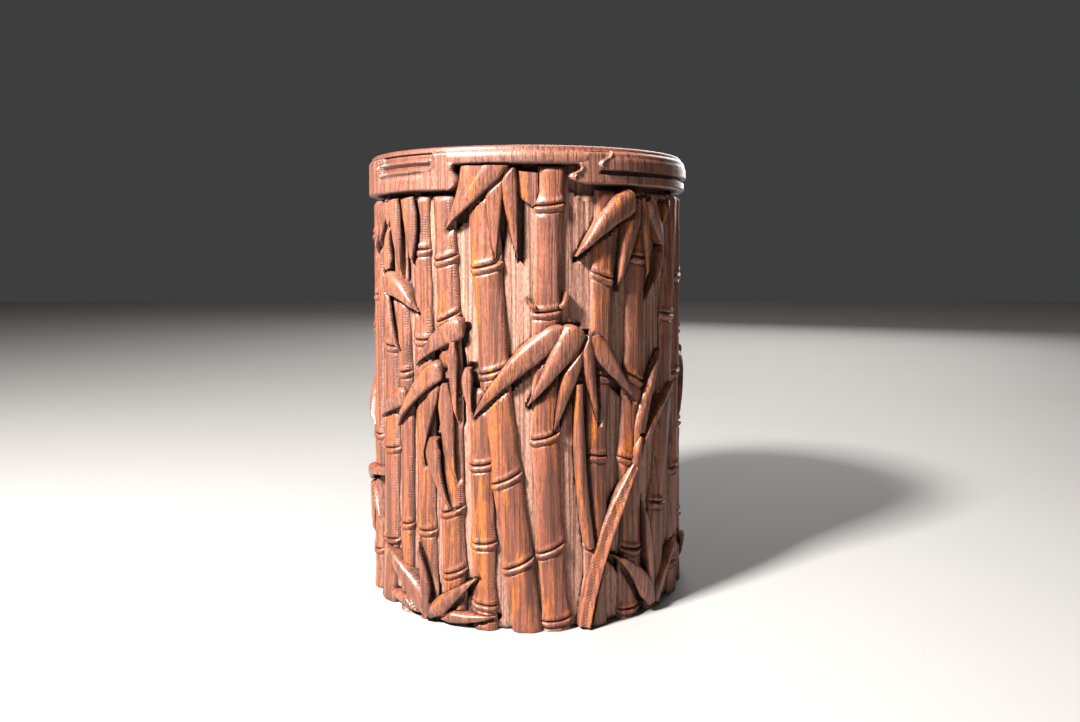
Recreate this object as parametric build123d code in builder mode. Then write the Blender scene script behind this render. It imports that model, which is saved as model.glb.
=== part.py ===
from build123d import *
from math import atan2, cos, degrees, radians, sin
import os

# Brush pot: a length of bamboo culm, carved all round with a bamboo grove.
# Millimetres, +Z up. The pot stands on Z = 0 with its axis on the Z axis.
# Places on the carving are (angle, height): angle 0 faces -Y and grows towards +X.

# Driving dimensions of the culm
height = 150.0
base_ground_radius = 54.0
top_ground_radius = 51.2
bore_radius = 45.0
lip_radius = 2.5
foot_chamfer = 0.8

# Floor: a board let into the foot from below, with a plug in its middle
floor_lift = 1.5
floor_thickness = 6.0
floor_seat_radius = 47.5
plug_radius = 8.0
plug_head = 0.8
plug_round = 0.4

# Rim band and its three scrolled lappets
band_height = 5.4
band_bottom = height - band_height
band_rise = 4.2
band_shoulder = 2.8
lappet_rise = 3.5
lappet_half_angle = 39.5
left_lappet_bottom = 136.8
right_lappet_bottom = 138.5
far_lappet_bottom = 138.0
lappets = ((-62.7, left_lappet_bottom), (57.5, right_lappet_bottom), (177.0, far_lappet_bottom))
panel_rise = 4.1
panel_height = 2.6
panel_inset_angle = 7.8
scroll_reach = 3.0
scroll_drop = 5.2
scroll_depth = 3.2
scroll_round = 1.05
scroll_rise = 3.1

# Carved stalks
stalk_rise = 2.4
root_depth = 0.9
core_margin = 12.0
joint_profile = ((-1.8, 1.0), (-0.8, 1.12), (0.0, 1.0), (0.9, 1.14), (2.1, 1.0))
waist_profile = ((0.5, 0.93),)

# Carved blades: share of the length against share of the width
blade_edge_rise = 2.9
blade_ridge_rise = 3.8
front_lift = 0.9
keel_reach = 0.2
leaf_outline = ((0.0, 0.5), (0.1, 0.9), (0.3, 1.0), (0.6, 0.76), (0.84, 0.36), (1.0, 0.08))
stem_outline = ((0.0, 1.0), (0.35, 1.05), (0.7, 0.95), (1.0, 0.75))
blade_radius = 52.6

# Front stalks: half width, course as (height, angle), joints as (height, tilt in degrees)
front_stalks = {
    "stalk_01": (4.6, ((0, -74), (60, -72), (100, -70), (left_lappet_bottom, -70)),
                 ((14, 6), (56, -5), (104, 4))),
    "stalk_02": (5.2, ((0, -60), (25, -57.5), (85, -56.5), (left_lappet_bottom, -57.5)),
                 ((22, 8), (53.5, 6), (88, -6))),
    "stalk_03": (3.2, ((0, -46), (67, -45.5), (112, -49.5), (left_lappet_bottom, -51)), ((30, 4), (80, 4))),
    "stalk_04": (4.0, ((0, -35), (29, -36), (75, -36.8), (105, -37.5), (120, -38.7),
                       (left_lappet_bottom, -38.4)),
                 ((29.5, 6), (91, 0), (119.3, -4))),
    "stalk_05": (4.2, ((0, -24), (37, -25.2), (75, -25.5), (97, -26.7), (left_lappet_bottom, -28.4)),
                 ((17.5, 22), (37.5, 22), (74, 10), (98, 24), (116.3, 14))),
    "stalk_06": (4.0, ((0, -13.4), (50, -14.3), (78, -15.2)), ((8.3, -8), (28, 6), (53, 10))),
    "stalk_07": (4.9, ((0, 1), (20, -1.8), (49, -6), (75, -9.5), (100, -11.3), (band_bottom, -15.2)),
                 ((21.8, 26), (48.8, 26), (82.3, 18), (114.3, 14))),
    "stalk_08": (4.5, ((0, 10.8), (25, 8.5), (62, 6.8), (100, 7.2), (130, 8.2), (band_bottom, 9.4)),
                 ((3.4, 8), (26.5, 24), (62, 18), (100.5, 6), (132.5, 8))),
    "stalk_09": (4.0, ((0, 24.4), (40, 24.6), (55, 24.3), (80, 26), (111, 27), (right_lappet_bottom, 29)),
                 ((26.8, -4), (55.3, -8), (80.5, -12), (111, -18))),
    "stalk_10": (4.3, ((0, 37.4), (23, 38.8), (40, 39.5), (53, 37.5), (79, 40.5),
                       (right_lappet_bottom, 42.2)),
                 ((3.2, 0), (23, -12), (52.5, -16), (78.7, -26), (117, -10))),
    "stalk_11": (5.0, ((0, 51.5), (36, 54), (64, 60), (97, 62), (right_lappet_bottom, 70)),
                 ((35.5, -10), (72, 12), (98, -6))),
}

# The far side goes on in the same way: one stalk every few degrees, leaning a little by turns
far_first_angle = 68.0
far_pitch = 13.6
far_half_widths = (4.6, 4.1, 4.9, 3.6, 4.4)
far_leans = (13.5, 10.0, 7.5, 6.0, 4.0, 6.5, 3.0, 5.5) + 8 * (2.0,)
far_bend_share = 0.4
far_joint_step = 33.0
far_joint_margin = 8.0
far_joint_count = 4
far_joint_first = (12.0, 25.0, 5.0, 18.0, 30.0, 9.0, 21.0)
far_joint_tilts = (12.0, -9.0, 18.0, 5.0, -14.0)

# Front sprays: each blade is (root, middle, tip, half width, lift over its neighbours)
front_sprays = {
    "spray_rim_left": (
        ((-61, 133.5), (-64, 126.5), (-69, 118), 2.6, 0),
        ((-58, 134), (-59.2, 128), (-63.6, 120), 1.8, 0),
        ((-51.5, 134.6), (-49.4, 124), (-46.8, 110.4), 2.7, 0),
        ((-55, 112.6), (-55.8, 119), (-53.6, 127), 2.6, 0),
        ((-55, 134), (-55, 130), (-54.4, 126), 1.8, 0),
    ),
    "blade_rim_left": (((-43.4, 134.8), (-41.4, 124), (-41.2, 114.6), 3.0, 0),),
    "spray_rim_centre": (
        ((-9.6, 143), (-9.8, 130), (-9.3, 116.5), 2.8, 0),
        ((-5.2, 143), (-4.2, 131), (-2.3, 116.7), 2.4, 0),
        ((-9.5, 142), (-18.2, 134.6), (-26.5, 125.5), 3.3, 1),
        ((-17.5, 142.4), (-19.4, 136), (-25.4, 126.8), 4.2, 1),
    ),
    "spray_rim_right": (
        ((40.5, 134.5), (36.5, 122), (32.5, 108), 3.3, 0),
        ((43.2, 135), (45, 122), (45.5, 109.5), 1.9, 0),
        ((46, 134.5), (51, 127.5), (56, 118), 3.2, 0),
        ((54.5, 120), (51.5, 112.5), (47, 105.4), 1.8, 0),
        ((59, 135), (57, 131), (54, 126.5), 1.5, 0),
        ((38.7, 134.6), (29.3, 130.2), (17.1, 117), 3.7, 1),
    ),
    "spray_upper_left": (
        ((-61.4, 112.5), (-57, 99), (-49, 86.5), 3.6, 0),
        ((-57, 108.6), (-47.6, 106.4), (-38.2, 99.6), 3.9, 1),
    ),
    "leaf_left_small": (((-18.5, 83), (-18.8, 76), (-17, 68.5), 1.9, 0),),
    "spray_mid_left": (
        ((-44, 73), (-53, 69.2), (-64, 62.4), 3.2, 0),
        ((-27.5, 82.5), (-36.5, 76.6), (-49.3, 62), 3.5, 1),
    ),
    "blade_mid_left": (((-20, 96), (-29, 91.8), (-40, 82.6), 3.8, 0),),
    "spray_left_stalk": (
        ((-24, 91), (-23.8, 79), (-22.5, 66), 1.7, 0),
        ((-29.6, 77), (-34.2, 66), (-36, 51), 2.2, 0),
        ((-27, 78), (-26, 63), (-23, 47.5), 2.8, 0),
        ((-31.5, 60), (-31, 50.5), (-25, 38), 2.8, 0),
    ),
    "blade_mid_long": (((13, 95.5), (-4, 82.6), (-17, 67.6), 3.7, 0),),
    "blade_mid_front": (((17, 96), (10.8, 86), (1, 71.8), 3.9, 1),),
    "spray_mid_right": (
        ((18.2, 90.5), (13.6, 77.5), (9.5, 64), 2.7, 0),
        ((20.5, 93), (21.4, 82), (24.5, 65.8), 2.3, 0),
        ((23.2, 92.4), (29.6, 83.4), (39.5, 72), 3.4, 0),
    ),
    "tuft_foot_left": (
        ((-32.6, 2.2), (-44.6, 12.8), (-58, 20.5), 3.8, 1),
        ((-36, 2.8), (-46, 4.2), (-55, 4.6), 2.2, 0),
        ((-33, 2.2), (-25, 9.2), (-15.8, 16.6), 2.7, 1),
        ((-30.5, 3), (-20, 3.3), (-9.6, 4.6), 2.2, 0),
        ((-34, 5), (-35.2, 15), (-38.5, 25), 1.7, 1),
    ),
    "tuft_foot_right": (
        ((50.5, 2.2), (56.5, 11.6), (68, 20), 2.8, 0),
        ((48, 5), (46.6, 22), (43.7, 37), 1.8, 0),
        ((46.5, 3), (41, 13.2), (30, 22.4), 3.4, 1),
    ),
    "leaf_right_stem": (((40.6, 55), (45, 71), (54, 86), 2.8, 0),),
    "spray_far_left": (
        ((-81, 37), (-72, 33), (-62, 25.5), 3.0, 0),
        ((-82, 36), (-82, 27), (-79, 17), 3.0, 0),
        ((-82, 38), (-73, 42.5), (-62.5, 42.5), 2.8, 1),
    ),
}

# Front stems and shoots: blades of nearly even width
front_stems = {
    "stem_long_right": (
        ((19.3, 0.8), (26.6, 28), (40.8, 53.4), 2.0, 1),
        ((39, 50.5), (39.8, 54.5), (41.4, 59.5), 1.2, 1),
        ((39.8, 50.5), (48, 63.6), (60.8, 74.8), 1.1, 1),
    ),
    "shoot_centre": (((21.7, 25.8), (18.6, 50), (17.8, 78), 1.4, 0),),
}

# Buds and a sheath that grow out of a stalk, one piece with it
stalk_buds = {
    "stalk_08": (
        ((3.6, 101.8), (1.8, 102.8), (0.2, 104.9), 0.6, 0),
        ((11.2, 101.8), (13, 103.3), (13.7, 106.5), 0.6, 0),
        ((3.4, 132.4), (1.4, 136.4), (1.2, 142), 3.0, 0),
    ),
}

# Far sprays: three shapes, each set at several places as (angle, height, left or right hand)
far_shapes = {
    "hanging": (
        ((0.8, -2), (3.2, -15), (3, -28), 2.8, 0),
        ((3, -2.5), (13.4, -10), (23, -22), 3.5, 1),
        ((-1.6, -2), (-8.6, -10), (-17, -17), 3.1, 0),
    ),
    "crossing": (
        ((-0.8, -3), (-4.4, -17), (-8, -31), 2.8, 0),
        ((-1.4, -1.6), (11.6, -11), (21, -25), 3.6, 0),
        ((1.4, -0.6), (-11.4, -7.2), (-23, -17), 3.7, 1),
    ),
    "rising": (
        ((-2, 0.5), (-12.4, 9), (-25, 17), 3.6, 1),
        ((2, 0.5), (12.6, 5.6), (24, 9), 2.8, 0),
        ((0, 1.4), (1, 14), (5, 27), 2.3, 0),
    ),
}
far_places = {
    "far_spray_01": ("rising", 101.0, 2.4, 1),
    "far_spray_02": ("crossing", 93.0, 84.0, -1),
    "far_spray_03": ("hanging", 117.0, 144.0, 1),
    "far_spray_04": ("crossing", 138.0, 103.0, 1),
    "far_spray_05": ("rising", 158.0, 2.4, -1),
    "far_spray_06": ("crossing", 178.0, 68.0, -1),
    "far_spray_07": ("hanging", 187.0, 137.0, -1),
    "far_spray_08": ("rising", 214.0, 2.4, 1),
    "far_spray_09": ("crossing", 221.0, 98.0, 1),
    "far_spray_10": ("hanging", 239.0, 143.0, -1),
    "far_spray_11": ("crossing", 257.0, 74.0, -1),
}


def ground_radius(level):
    """Radius of the sunk ground of the carving at a height."""
    return base_ground_radius + (top_ground_radius - base_ground_radius) * level / height


def outward(angle):
    return Vector(sin(radians(angle)), -cos(radians(angle)), 0)


def across(angle, level, heading):
    """Plane standing across a carved stroke; heading 0 runs up, positive leans towards greater angles."""
    out = outward(angle)
    side = Vector(0, 0, 1).cross(out)
    travel = side * sin(heading) + Vector(0, 0, 1) * cos(heading)
    return Plane(out * ground_radius(level) + Vector(0, 0, level), x_dir=travel.cross(out), z_dir=-travel)


def upright(angle):
    """Plane through the axis, with its x axis pointing outward at the angle."""
    return Plane((0, 0, 0), x_dir=outward(angle), z_dir=outward(angle).cross(Vector(0, 0, 1)))


def angle_at(course, level):
    """Angle of a stalk's centre line at a height, straight between the points of its course."""
    for (low, low_angle), (high, high_angle) in zip(course, course[1:]):
        if level <= high:
            return low_angle + (high_angle - low_angle) * (level - low) / (high - low)
    return course[-1][1]


def far_stalk_top(angle):
    """Height at which a stalk meets the rim band or the lappet over it."""
    for centre, lappet_bottom in lappets:
        if abs((angle - centre + 180) % 360 - 180) < lappet_half_angle + scroll_reach:
            return lappet_bottom
    return band_bottom


def stations(top, joints):
    """Heights, swellings and tilts of the sections of one stalk, from foot to top."""
    rows = [(0.0, 1.0, 0.0)]
    below = 0.0
    for level, tilt in joints:
        start = level + joint_profile[0][0]
        if start - below > stalk_rise:
            rows += [(below + (start - below) * share, swell, 0.0) for share, swell in waist_profile]
        rows += [(level + step, swell, tilt) for step, swell in joint_profile]
        below = level + joint_profile[-1][0]
    rows += [(below + (top - below) * share, swell, 0.0) for share, swell in waist_profile]
    return rows + [(top, 1.0, 0.0)]


def reach(points, margin):
    """Patch of the surface that a carved piece covers: middle angle, half angle, lowest and highest."""
    spread = degrees(margin / blade_radius)
    angles = [angle for angle, level in points]
    levels = [level for angle, level in points]
    middle = (min(angles) + max(angles)) / 2
    return middle, (max(angles) - min(angles)) / 2 + spread, min(levels) - margin, max(levels) + margin


def near(one, other):
    """Whether two patches of the surface meet, also across the half turn."""
    apart = abs((one[0] - other[0] + 180) % 360 - 180)
    return apart < one[1] + other[1] and one[2] < other[3] and other[2] < one[3]


def finish(piece, name):
    piece.part.label = name
    export_step(piece.part, f"parts/{name}.step")
    print(name, len(piece.part.solids()), round(piece.part.volume, 1), flush=True)


def carve_stalk(half_width, course, joints):
    """One bamboo stalk in relief: D-shaped sections that swell at each joint."""
    with BuildPart() as stalk:
        for level, swell, tilt in stations(course[-1][0], joints):
            with BuildSketch(across(angle_at(course, level), level, radians(-tilt))):
                with BuildLine():
                    crown = ThreePointArc(
                        (-half_width * swell, -root_depth),
                        (0, stalk_rise * swell),
                        (half_width * swell, -root_depth),
                    )
                    Line(crown @ 1, crown @ 0)
                make_face()
        loft(ruled=True)
    return stalk


def carve_blade(root, middle, tip, half_width, lift, outline):
    """One blade in relief: keeled sections along a smooth curve through root, middle and tip."""
    start, bend, end = (Vector(radians(angle) * blade_radius, level) for angle, level in (root, middle, tip))
    pull = bend * 2 - (start + end) * 0.5
    edge_rise = blade_edge_rise + front_lift * lift
    with BuildPart() as blade:
        for share, width in outline:
            place = start * (1 - share) ** 2 + pull * (2 * share * (1 - share)) + end * share**2
            run = (pull - start) * (1 - share) + (end - pull) * share
            side = half_width * width
            keel = edge_rise + (blade_ridge_rise - blade_edge_rise) * min(1, width + keel_reach)
            with BuildSketch(across(degrees(place.X / blade_radius), place.Y, atan2(run.X, run.Y))):
                Polygon(
                    (-side, -root_depth),
                    (side, -root_depth),
                    (side, edge_rise),
                    (0, keel),
                    (-side, edge_rise),
                    align=None,
                )
        loft(ruled=True)
    return blade


def carve_spray(blades, outline, carved):
    """Blades joined as one spray, fitted over the ground and the pieces that lie below it."""
    points = [point for blade in blades for point in blade[:3]]
    patch = reach(points, max(blade[3] for blade in blades) + root_depth)
    with BuildPart() as spray:
        for root, middle, tip, half_width, lift in blades:
            add(carve_blade(root, middle, tip, half_width, lift, outline).part)
        add([core.part] + [piece for piece, other in carved if near(patch, other)], mode=Mode.SUBTRACT)
    return spray, patch


os.makedirs("parts", exist_ok=True)

# Everything inside the ground surface and under the resting plane, used to trim the relief
core_top = height + floor_thickness
with BuildPart() as core:
    with BuildSketch(Plane.XZ):
        Polygon(
            (0, 0), (base_ground_radius, 0), (ground_radius(core_top), core_top), (0, core_top), align=None,
        )
    revolve(axis=Axis.Z)
    with BuildSketch(Plane.XY):
        Circle(base_ground_radius + core_margin)
    extrude(amount=-floor_thickness)

# Culm wall: bored well, seat for the floor from below, softened inner lip
floor_top = floor_lift + floor_thickness
with BuildPart() as wall:
    with BuildSketch(Plane.XZ):
        with BuildLine():
            Polyline(
                (floor_seat_radius, 0), (base_ground_radius, 0), (top_ground_radius, height),
                (bore_radius, height), (bore_radius, floor_top), (floor_seat_radius, floor_top),
                close=True,
            )
        make_face()
    revolve(axis=Axis.Z)
    mouth = wall.edges().filter_by(GeomType.CIRCLE).group_by(Axis.Z)[-1].sort_by(SortBy.RADIUS)[0]
    fillet(mouth, lip_radius)
    seat_mouth = wall.edges().filter_by(GeomType.CIRCLE).group_by(Axis.Z)[0].sort_by(SortBy.RADIUS)[0]
    chamfer(seat_mouth, foot_chamfer)
finish(wall, "wall")

# Floor board with a round hole for its plug
with BuildPart() as floor_board:
    with BuildSketch(Plane.XY.offset(floor_lift)):
        Circle(floor_seat_radius)
        Circle(plug_radius, mode=Mode.SUBTRACT)
    extrude(amount=floor_thickness)
finish(floor_board, "floor_board")

# Plug: fills the hole and stands a little proud inside the well
with BuildPart() as floor_plug:
    with BuildSketch(Plane.XY.offset(floor_lift)):
        Circle(plug_radius)
    extrude(amount=floor_thickness + plug_head)
    fillet(floor_plug.edges().group_by(Axis.Z)[-1], plug_round)
finish(floor_plug, "floor_plug")

# Rim band: a ring with a rounded shoulder and lappets that end in scrolls
with BuildPart() as rim_band:
    with BuildSketch(Plane.XZ) as ring:
        Polygon(
            (top_ground_radius - root_depth, band_bottom),
            (ground_radius(band_bottom) + band_rise, band_bottom),
            (top_ground_radius + band_rise, height),
            (top_ground_radius - root_depth, height),
            align=None,
        )
        fillet(ring.vertices().group_by(Axis.Y)[-1].sort_by(Axis.X)[-1], band_shoulder)
    revolve(axis=Axis.Z)
    for centre, lappet_bottom in lappets:
        with BuildSketch(upright(centre - lappet_half_angle)):
            Polygon(
                (ground_radius(lappet_bottom) - root_depth, lappet_bottom),
                (ground_radius(lappet_bottom) + lappet_rise, lappet_bottom),
                (top_ground_radius + lappet_rise, band_bottom + root_depth),
                (top_ground_radius - root_depth, band_bottom + root_depth),
                align=None,
            )
        revolve(axis=Axis.Z, revolution_arc=2 * lappet_half_angle)
        panel_low = band_bottom - panel_height
        panel_half_angle = lappet_half_angle - panel_inset_angle
        with BuildSketch(upright(centre - panel_half_angle)):
            Polygon(
                (ground_radius(panel_low), panel_low),
                (ground_radius(panel_low) + panel_rise, panel_low),
                (top_ground_radius + panel_rise, band_bottom + root_depth),
                (top_ground_radius, band_bottom + root_depth),
                align=None,
            )
        revolve(axis=Axis.Z, revolution_arc=2 * panel_half_angle)
        scroll_angle = lappet_half_angle + scroll_reach
        with BuildSketch(upright(centre - scroll_angle)) as scroll:
            Polygon(
                (top_ground_radius - root_depth, band_bottom - scroll_drop),
                (top_ground_radius + scroll_rise, band_bottom - scroll_drop),
                (top_ground_radius + scroll_rise, band_bottom - scroll_drop + scroll_depth),
                (top_ground_radius - root_depth, band_bottom - scroll_drop + scroll_depth),
                align=None,
            )
            fillet(scroll.vertices().group_by(Axis.X)[-1], scroll_round)
        revolve(axis=Axis.Z, revolution_arc=2 * scroll_angle)
    add(core.part, mode=Mode.SUBTRACT)
finish(rim_band, "rim_band")


# Stalks, front ones and then far ones by rule
rows = dict(front_stalks)
for index, lean in enumerate(far_leans):
    foot_angle = far_first_angle + far_pitch * index
    top = far_stalk_top(foot_angle + lean)
    course = ((0, foot_angle), (height / 2, foot_angle + lean * far_bend_share), (top, foot_angle + lean))
    half_width = far_half_widths[index % len(far_half_widths)]
    first = far_joint_first[index % len(far_joint_first)]
    tilt = far_joint_tilts[index % len(far_joint_tilts)]
    levels = [first + far_joint_step * turn for turn in range(far_joint_count)]
    joints = tuple((level, tilt) for level in levels if level < top - far_joint_margin)
    rows[f"stalk_{len(front_stalks) + index + 1:02d}"] = (half_width, course, joints)

# The leaning stalk that crosses the others is cut first, so it lies in front of them
carved = []
for name, (half_width, course, joints) in sorted(rows.items(), key=lambda row: row[0] != "stalk_07"):
    patch = reach([(angle, level) for level, angle in course], half_width)
    blank = carve_stalk(half_width, course, joints)
    with BuildPart() as stalk:
        add(blank.part)
        for root, middle, tip, bud_width, lift in stalk_buds.get(name, ()):
            add(carve_blade(root, middle, tip, bud_width, lift, stem_outline).part)
        add([core.part] + [piece for piece, other in carved if near(patch, other)], mode=Mode.SUBTRACT)
    finish(stalk, name)
    carved.append((stalk.part, patch))

# Stems, shoots and leaves, each laid over what is below it
carved.append((rim_band.part, (0, 180, lappets[0][1], height)))
for name, blades in front_stems.items():
    spray, patch = carve_spray(blades, stem_outline, carved)
    finish(spray, name)
    carved.append((spray.part, patch))

for name, blades in front_sprays.items():
    spray, patch = carve_spray(blades, leaf_outline, carved)
    finish(spray, name)
    carved.append((spray.part, patch))

for name, (shape, angle, level, hand) in far_places.items():
    blades = [
        ((angle + hand * root[0], level + root[1]), (angle + hand * middle[0], level + middle[1]),
         (angle + hand * tip[0], level + tip[1]), half_width, lift)
        for root, middle, tip, half_width, lift in far_shapes[shape]
    ]
    spray, patch = carve_spray(blades, leaf_outline, carved)
    finish(spray, name)
    carved.append((spray.part, patch))
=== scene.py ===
from math import pi, radians

import bmesh
import bpy
import numpy as np
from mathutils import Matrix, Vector


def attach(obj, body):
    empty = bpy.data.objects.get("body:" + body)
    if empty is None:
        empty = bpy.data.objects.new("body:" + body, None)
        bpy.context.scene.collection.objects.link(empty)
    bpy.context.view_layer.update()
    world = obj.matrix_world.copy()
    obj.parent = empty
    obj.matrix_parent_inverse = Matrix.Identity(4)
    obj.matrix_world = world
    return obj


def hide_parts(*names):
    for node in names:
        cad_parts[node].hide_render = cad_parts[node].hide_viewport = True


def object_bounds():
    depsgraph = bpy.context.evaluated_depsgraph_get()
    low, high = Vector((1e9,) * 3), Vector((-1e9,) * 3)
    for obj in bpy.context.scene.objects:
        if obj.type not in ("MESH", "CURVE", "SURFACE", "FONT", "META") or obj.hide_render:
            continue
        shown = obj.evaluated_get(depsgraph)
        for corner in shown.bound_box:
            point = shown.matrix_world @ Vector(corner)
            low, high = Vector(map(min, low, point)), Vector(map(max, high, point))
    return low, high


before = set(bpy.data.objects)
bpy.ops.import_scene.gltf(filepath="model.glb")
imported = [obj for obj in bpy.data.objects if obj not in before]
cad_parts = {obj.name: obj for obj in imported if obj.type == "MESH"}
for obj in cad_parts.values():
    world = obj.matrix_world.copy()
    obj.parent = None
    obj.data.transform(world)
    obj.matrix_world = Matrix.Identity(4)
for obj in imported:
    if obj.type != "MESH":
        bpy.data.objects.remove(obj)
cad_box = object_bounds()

# The pot's relief is laid out on the unrolled culm: u runs round it, z up it and d out of it, in millimetres.
# Angles are degrees from the front (-Y), growing towards +X.
MM = 0.001
HEIGHT = cad_box[1][2] / MM
# Radii of the culm's ground at the foot and at the top, how much it draws in per millimetre of height, the
# radius of the cylinder that u is measured on, and about how long a degree is there
GROUND_FOOT = 54.0
GROUND_TOP = 51.2
TAPER = (GROUND_FOOT - GROUND_TOP) / HEIGHT
LAYOUT_RADIUS = 52.6
MM_PER_DEGREE = 0.92
# The well: radius, top of the floor board and radius of the seat it lies in
BORE = 45.0
FLOOR_TOP = 7.5
FLOOR_SEAT = 47.5
# The rim: lower edge of the band, and each lappet as (angle, lower edge, swell of its scroll in degrees)
BAND_BOTTOM = 144.6
LEFT_BOTTOM = 136.8
RIGHT_BOTTOM = 138.5
FAR_BOTTOM = 138.0
LAPPETS = ((-62.7, LEFT_BOTTOM, 2.1), (57.5, RIGHT_BOTTOM, 4.0), (177.0, FAR_BOTTOM, 3.0))
# Half a lappet's length in degrees, its rise over the ground, how far its edges are rounded, how many degrees
# past its ends the stalks still stop below it, and the radius of the band behind it
LAPPET_HALF = 39.5
LAPPET_RISE = 3.7
LAPPET_ROUND = 1.1
SCROLL_REACH = 3.0
BAND_BACK = 52.3

# How far the relief stands out of the ground: stalks, edges and crests of blades, how much more the blades in
# front do, edges of sheaths, and how much more one of the stalks does
STALK_RISE = 2.35
EDGE_RISE = 2.95
RIDGE_RISE = 3.75
FRONT_LIFT = 0.8
SHEATH_RISE = 1.5
FRONT_STALK = "stalk_07"
FRONT_STALK_RISE = 0.35
# Depth of the pockets: in the ground under blades and under the band, in a blade under one in front, and in
# a stalk under blades as a share of its rise, then half the width of their soft edges
GROUND_POCKET = 2.3
BAND_POCKET = 2.9
BLADE_POCKET = 1.1
STALK_POCKET = 0.72
POCKET_SOFT = 0.5
# Rows of small marks: ticks in the wood and dots on stippled blades
TICK_PITCH = 0.75
STIPPLE_PITCH = 1.1
STIPPLE_RISE = 0.13
# Across a blade, from its upper side to its free edge: where, and how high as a share of the crest
BLADE_SECTION = (
    (-1, -0.94, -0.82, -0.64, -0.46, -0.25, 0, 0.3, 0.6, 0.8, 0.92, 1),
    (-1.7, -0.95, -0.1, 0.6, 0.95, 1.05, 0.97, 0.72, 0.42, 0.14, -0.15, -0.65),
)
# The same across a blade that has its crest near the free edge
KEEL_SECTION = (
    (-1, -0.92, -0.78, -0.3, 0.1, 0.35, 0.55, 0.75, 0.9, 1),
    (-2.2, -1.2, -0.75, -0.45, -0.1, 0.55, 1.15, 1.2, 0.6, -0.6),
)
# Round the back of a blade: where across, and how far below its edge, but no deeper than BACK_LOWEST. Where
# it says inf, the blade runs into the ground, down to BACK_BURIED.
BACK_ACROSS = (1.03, 1.0, 0.62, 0.3, -0.8, -0.98, -1.03)
BACK_DROP = (0.75, 1.15, 1.6, np.inf, np.inf, np.inf, 1.7)
BACK_LOWEST = -0.6
BACK_BURIED = -0.9
# Where pieces end: the root of blades that hang from the band, the gap over a stalk under a lappet and under
# the band, and the gap under blades at the foot
HANG_LEVEL = BAND_BOTTOM - 0.8
UNDER_LAPPET_GAP = 1.3
UNDER_BAND_GAP = 0.7
FOOT_GAP = 0.15
# Rings and grooves of a stalk's joint, and its swelling: how much, how far above the joint, how wide
JOINT_RINGS = ((0.52, -1.0, 0.78), (-0.85, 0.05, 0.27), (0.38, 1.15, 0.8), (-0.38, -2.35, 0.36))
JOINT_SWELLS = ((0.10, -0.8, 1.2), (0.05, 1.4, 2.2))

# Half width, course as (height, angle), joints as (height, tilt in degrees)
STALKS = {
    "stalk_01": (4.6, ((0, -74), (60, -72), (100, -70), (LEFT_BOTTOM, -70)), ((14, 6), (56, -5), (104, 4))),
    "stalk_02": (5.2, ((0, -60), (25, -57.5), (85, -56.5), (LEFT_BOTTOM, -57.5)),
                 ((22, 8), (53.5, 6), (88, -6))),
    "stalk_03": (3.2, ((0, -46), (67, -45.5), (112, -49.5), (LEFT_BOTTOM, -51)), ((30, 4), (80, 4))),
    "stalk_04": (4.0, ((0, -35), (29, -36), (75, -36.8), (105, -37.5), (120, -38.7), (LEFT_BOTTOM, -38.4)),
                 ((29.5, 6), (91, 0), (119.3, -4))),
    "stalk_05": (4.2, ((0, -24), (37, -25.2), (75, -25.5), (97, -26.7), (LEFT_BOTTOM, -28.4)),
                 ((17.5, 22), (37.5, 22), (74, 10), (98, 24), (116.3, 14))),
    "stalk_06": (4.0, ((0, -13.4), (50, -14.3), (78, -15.2)), ((8.3, -8), (28, 6), (53, 10))),
    "stalk_07": (4.9, ((0, 1), (20, -1.8), (49, -6), (75, -9.5), (100, -11.3), (BAND_BOTTOM, -15.2)),
                 ((21.8, 26), (48.8, 26), (82.3, 18), (114.3, 14))),
    "stalk_08": (4.5, ((0, 10.8), (25, 8.5), (62, 6.8), (100, 7.2), (130, 8.2), (BAND_BOTTOM, 9.4)),
                 ((3.4, 8), (26.5, 24), (62, 18), (100.5, 6), (132.5, 8))),
    "stalk_09": (4.0, ((0, 24.4), (40, 24.6), (55, 24.3), (80, 26), (111, 27), (RIGHT_BOTTOM, 29)),
                 ((26.8, -4), (55.3, -8), (80.5, -12), (111, -18))),
    "stalk_10": (4.3, ((0, 37.4), (23, 38.8), (40, 39.5), (53, 37.5), (79, 40.5), (RIGHT_BOTTOM, 42.2)),
                 ((3.2, 0), (23, -12), (52.5, -16), (78.7, -26), (117, -10))),
    "stalk_11": (5.0, ((0, 51.5), (36, 54), (64, 60), (97, 62), (RIGHT_BOTTOM, 70)),
                 ((35.5, -10), (72, 12), (98, -6))),
}
# Stalks of the far side: where the first stands, the step to the next, the lean of each in degrees, and half
# widths and joints that are taken in turn
FAR_FIRST = 68.0
FAR_PITCH = 13.6
FAR_HALF_WIDTHS = (4.6, 4.1, 4.9, 3.6, 4.4)
FAR_LEANS = (13.5, 10.0, 7.5, 6.0, 4.0, 6.5, 3.0, 5.5) + 8 * (2.0,)
FAR_BEND_SHARE = 0.4
FAR_JOINT_STEP = 33.0
FAR_JOINT_MARGIN = 8.0
FAR_JOINT_COUNT = 4
FAR_JOINT_FIRST = (12.0, 25.0, 5.0, 18.0, 30.0, 9.0, 21.0)
FAR_JOINT_TILTS = (12.0, -9.0, 18.0, 5.0, -14.0)

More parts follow.
